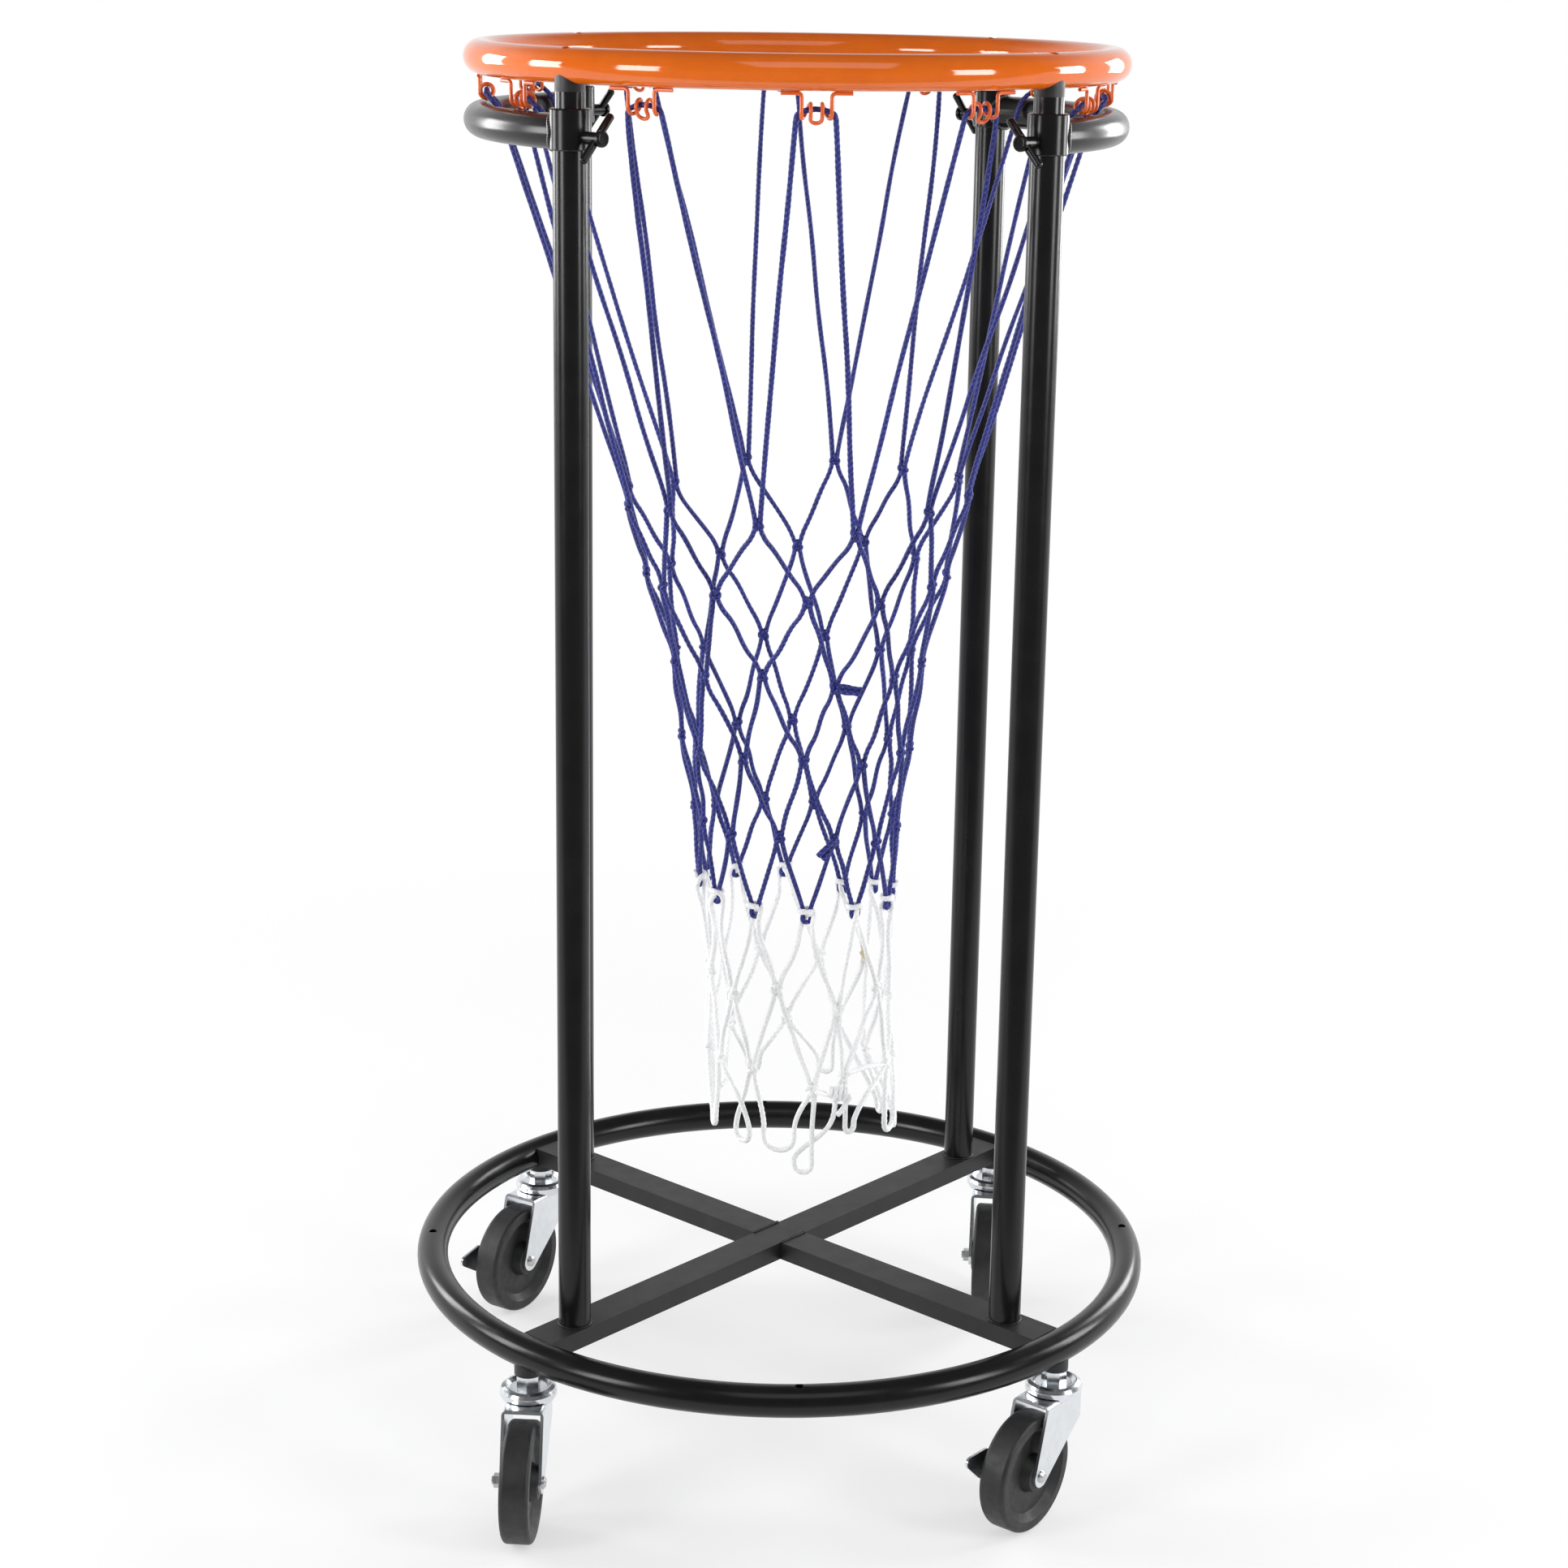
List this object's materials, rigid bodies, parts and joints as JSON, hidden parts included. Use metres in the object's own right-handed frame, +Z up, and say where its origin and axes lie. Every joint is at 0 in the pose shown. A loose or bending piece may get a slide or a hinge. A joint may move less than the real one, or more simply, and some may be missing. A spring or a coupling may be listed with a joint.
{
  "type": "wheeled ring goal",
  "caption": "Ring goal on wheels: an orange tube hoop on telescoping posts over a round base, with a long knotted net and swivel casters.",
  "frame": {"origin": "on the floor under the centre of the base ring", "axes": "+Z up along the hoop's axis; -Y is the front, from where the picture is taken"},
  "size_m": [0.6096, 0.6096, 1.1277],
  "materials": {
    "bolt_steel": "satin",
    "cord_blue": "braided",
    "cord_white": "braided",
    "frame_black": "satin powder coat",
    "hook_orange": "gloss",
    "hoop_orange": "gloss",
    "plug_metal": "satin",
    "saddle_grey": "matte",
    "screw_black": "gloss",
    "socket_black": "satin powder coat",
    "tube_black": "gloss",
    "wheel_rubber": "matte",
    "zinc": "bright zinc"
  },
  "bodies": {
    "frame": {"base_ring": "frame_black", "crossbar_long": "frame_black", "crossbar_back_left": "frame_black", "crossbar_front_right": "frame_black", "post_front_left": "frame_black", "post_front_right": "frame_black", "post_back_left": "frame_black", "post_back_right": "frame_black", "collar_front_left": "frame_black", "collar_front_right": "frame_black", "collar_back_left": "frame_black", "collar_back_right": "frame_black", "handle_left": "frame_black", "handle_right": "frame_black", "caster_sockets": "socket_black", "caster_stems": "zinc", "caster_caps": "zinc"},
    "hoop": {"hoop_ring": "hoop_orange", "inner_tube_front_left": "tube_black", "inner_tube_front_right": "tube_black", "inner_tube_back_left": "tube_black", "inner_tube_back_right": "tube_black", "saddle_caps": "saddle_grey", "hoop_bolts": "bolt_steel", "tube_plugs": "plug_metal", "net_hooks": "hook_orange", "net_blue": "cord_blue", "net_white": "cord_white"},
    "clamp_front_left": {"clamp_screw_front_left": "screw_black", "tommy_bar_front_left": "screw_black"},
    "clamp_front_right": {"clamp_screw_front_right": "screw_black", "tommy_bar_front_right": "screw_black"},
    "clamp_back_left": {"clamp_screw_back_left": "screw_black", "tommy_bar_back_left": "screw_black"},
    "clamp_back_right": {"clamp_screw_back_right": "screw_black", "tommy_bar_back_right": "screw_black"},
    "swivel_front_left": {"fork_front_left": "zinc", "swivel_balls_front_left": "zinc", "axle_front_left": "zinc"},
    "rolling_front_left": {"wheel_front_left": "wheel_rubber", "hub_sleeve_front_left": "zinc"},
    "swivel_front_right": {"fork_front_right": "zinc", "swivel_balls_front_right": "zinc", "axle_front_right": "zinc"},
    "rolling_front_right": {"wheel_front_right": "wheel_rubber", "hub_sleeve_front_right": "zinc"},
    "brake_front_right": {"brake_lever_front_right": "zinc"},
    "swivel_back_left": {"fork_back_left": "zinc", "swivel_balls_back_left": "zinc", "axle_back_left": "zinc"},
    "rolling_back_left": {"wheel_back_left": "wheel_rubber", "hub_sleeve_back_left": "zinc"},
    "brake_back_left": {"brake_lever_back_left": "zinc"},
    "swivel_back_right": {"fork_back_right": "zinc", "swivel_balls_back_right": "zinc", "axle_back_right": "zinc"},
    "rolling_back_right": {"wheel_back_right": "wheel_rubber", "hub_sleeve_back_right": "zinc"}
  },
  "joints": [
    {"name": "hoop_height", "type": "slide", "parent": "frame", "child": "hoop", "axis": [0, 0, 1], "range_m": [0, 0.3]},
    {"name": "clamp_screw_turn_front_left", "type": "hinge", "parent": "frame", "child": "clamp_front_left", "pos_m": [-0.17062, -0.17062, 1.0655], "axis": [0.7071, -0.7071, 0], "range_deg": [0, 360]},
    {"name": "clamp_screw_turn_front_right", "type": "hinge", "parent": "frame", "child": "clamp_front_right", "pos_m": [0.17062, -0.17062, 1.0655], "axis": [-0.7071, -0.7071, 0], "range_deg": [0, 360]},
    {"name": "clamp_screw_turn_back_left", "type": "hinge", "parent": "frame", "child": "clamp_back_left", "pos_m": [-0.17062, 0.17062, 1.0655], "axis": [0.7071, 0.7071, 0], "range_deg": [0, 360]},
    {"name": "clamp_screw_turn_back_right", "type": "hinge", "parent": "frame", "child": "clamp_back_right", "pos_m": [0.17062, 0.17062, 1.0655], "axis": [-0.7071, 0.7071, 0], "range_deg": [0, 360]},
    {"name": "caster_swivel_front_left", "type": "hinge", "parent": "frame", "child": "swivel_front_left", "pos_m": [-0.20655, -0.20655, 0.1035], "axis": [0, 0, 1], "continuous": true},
    {"name": "wheel_spin_front_left", "type": "hinge", "parent": "swivel_front_left", "child": "rolling_front_left", "pos_m": [-0.21118, -0.24426, 0.0475], "axis": [0.9925, -0.1219, 0], "continuous": true},
    {"name": "caster_swivel_front_right", "type": "hinge", "parent": "frame", "child": "swivel_front_right", "pos_m": [0.20655, -0.20655, 0.1035], "axis": [0, 0, 1], "continuous": true},
    {"name": "wheel_spin_front_right", "type": "hinge", "parent": "swivel_front_right", "child": "rolling_front_right", "pos_m": [0.18162, -0.23522, 0.0475], "axis": [0.7547, -0.6561, 0], "continuous": true},
    {"name": "brake_press_front_right", "type": "hinge", "parent": "swivel_front_right", "child": "brake_front_right", "pos_m": [0.18162, -0.23522, 0.0475], "axis": [0.7547, -0.6561, 0], "range_deg": [0, 11]},
    {"name": "caster_swivel_back_left", "type": "hinge", "parent": "frame", "child": "swivel_back_left", "pos_m": [-0.20655, 0.20655, 0.1035], "axis": [0, 0, 1], "continuous": true},
    {"name": "wheel_spin_back_left", "type": "hinge", "parent": "swivel_back_left", "child": "rolling_back_left", "pos_m": [-0.22834, 0.17542, 0.0475], "axis": [0.8192, -0.5736, 0], "continuous": true},
    {"name": "brake_press_back_left", "type": "hinge", "parent": "swivel_back_left", "child": "brake_back_left", "pos_m": [-0.22834, 0.17542, 0.0475], "axis": [0.8192, -0.5736, 0], "range_deg": [-11, 0]},
    {"name": "caster_swivel_back_right", "type": "hinge", "parent": "frame", "child": "swivel_back_right", "pos_m": [0.20655, 0.20655, 0.1035], "axis": [0, 0, 1], "continuous": true},
    {"name": "wheel_spin_back_right", "type": "hinge", "parent": "swivel_back_right", "child": "rolling_back_right", "pos_m": [0.19995, 0.16912, 0.0475], "axis": [0.9848, -0.1736, 0], "continuous": true}
  ]
}
